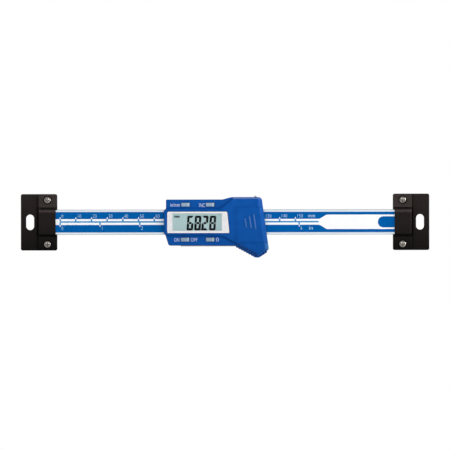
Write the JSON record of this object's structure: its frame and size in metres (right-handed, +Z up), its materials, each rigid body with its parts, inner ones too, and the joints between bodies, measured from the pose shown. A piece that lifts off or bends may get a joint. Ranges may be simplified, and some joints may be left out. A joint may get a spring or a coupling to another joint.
{
  "type": "digital linear scale",
  "caption": "Steel beam held between slotted end brackets, with a sliding LCD readout head, push buttons, thumb rest, lock screw and sliding battery door.",
  "frame": {"origin": "centre of the left bracket's mounting slot, on the mounting face at the back of the bracket", "axes": "+X along the beam towards the far end of the scale, +Y into the machine face that carries the brackets, +Z up"},
  "size_m": [0.2605, 0.0179, 0.0406],
  "materials": {
    "satin_steel": "satin ground stainless steel",
    "bright_screws": "nickel-plated steel",
    "black_bracket": "fine-textured black",
    "blue_housing": "fine-textured moulded blue",
    "grey_keys": "moulded blue-grey",
    "printed_label": "white film with blue print",
    "circuit_laminate": "glass-epoxy laminate",
    "clear_lens": "clear polished",
    "white_mask": "printed off-white",
    "lcd_glass": "grey-green reflective liquid crystal",
    "contact_rubber": "layered silicone",
    "epoxy_black": "glob-top epoxy",
    "spring_steel": "plated spring steel",
    "gib_brass": "drawn brass",
    "cell_steel": "nickel-plated can"
  },
  "bodies": {
    "beam_assembly": {"beam": "satin_steel", "scale_grid": "circuit_laminate", "scale_label": "printed_label", "left_bracket_base": "black_bracket", "right_bracket_base": "black_bracket", "left_bracket_clamp": "black_bracket", "right_bracket_clamp": "black_bracket", "left_clamp_screws": "bright_screws", "right_clamp_screws": "bright_screws"},
    "slider": {"slider_frame": "satin_steel", "gib_strip": "gib_brass", "gib_screws": "bright_screws", "housing": "blue_housing", "housing_screws": "bright_screws", "main_board": "circuit_laminate", "board_screws": "bright_screws", "controller_chip": "epoxy_black", "key_domes": "spring_steel", "zebra_strips": "contact_rubber", "lcd_panel": "lcd_glass", "lcd_mask": "white_mask", "display_lens": "clear_lens", "battery_cell": "cell_steel", "battery_contact_negative": "spring_steel", "battery_contact_positive": "spring_steel"},
    "unit_button": {"unit_button": "grey_keys"},
    "mode_button": {"mode_button": "grey_keys"},
    "power_button": {"power_button": "grey_keys"},
    "zero_button": {"zero_button": "grey_keys"},
    "battery_door": {"battery_door": "blue_housing"},
    "lock_screw": {"lock_screw": "bright_screws"}
  },
  "joints": [
    {"name": "slider_travel", "type": "slide", "parent": "beam_assembly", "child": "slider", "axis": [1, 0, 0], "range_m": [-0.06828, 0.08172]},
    {"name": "unit_button_press", "type": "slide", "parent": "slider", "child": "unit_button", "axis": [0, 1, 0], "range_m": [0, 0.0005], "stiffness_N_per_m": 1000},
    {"name": "mode_button_press", "type": "slide", "parent": "slider", "child": "mode_button", "axis": [0, 1, 0], "range_m": [0, 0.0005], "stiffness_N_per_m": 1000},
    {"name": "power_button_press", "type": "slide", "parent": "slider", "child": "power_button", "axis": [0, 1, 0], "range_m": [0, 0.0005], "stiffness_N_per_m": 1000},
    {"name": "zero_button_press", "type": "slide", "parent": "slider", "child": "zero_button", "axis": [0, 1, 0], "range_m": [0, 0.0005], "stiffness_N_per_m": 1000},
    {"name": "battery_door_slide", "type": "slide", "parent": "slider", "child": "battery_door", "axis": [1, 0, 0], "range_m": [0, 0.022]},
    {"name": "lock_screw_turn", "type": "hinge", "parent": "slider", "child": "lock_screw", "pos_m": [0.1439, -0.006, 0.0155], "axis": [0, 0, 1], "range_deg": [-240, 0]}
  ]
}
